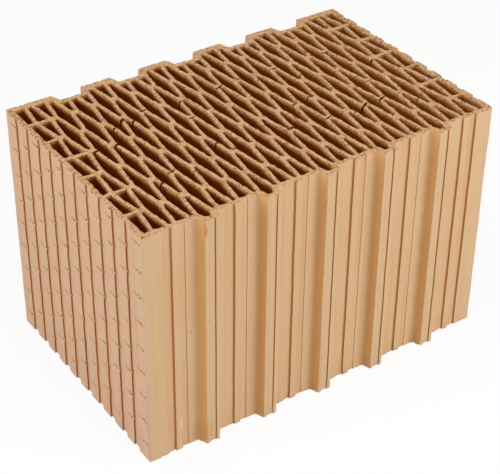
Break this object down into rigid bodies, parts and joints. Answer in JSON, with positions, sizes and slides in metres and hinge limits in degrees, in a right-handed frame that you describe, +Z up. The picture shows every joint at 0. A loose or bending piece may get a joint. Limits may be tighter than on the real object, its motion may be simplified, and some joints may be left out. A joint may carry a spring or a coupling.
{
  "type": "hollow clay block",
  "caption": "hollow fired clay wall block with a lattice of upright lozenge cells, tongues on one joint face, matching grooves on the other and keyed plaster faces",
  "frame": {"origin": "middle of the underside of the block's bounding box, tongues included", "axes": "+X through the wall from one plaster face to the other, -Y towards the tongue face, +Z up along the cells"},
  "size_m": [0.38, 0.255, 0.249],
  "materials": {
    "fired_clay": "matte, unglazed, fine upright drag marks from extrusion and gritty cut bed faces"
  },
  "bodies": {
    "root": {"clay_block": "fired_clay"}
  },
  "joints": []
}
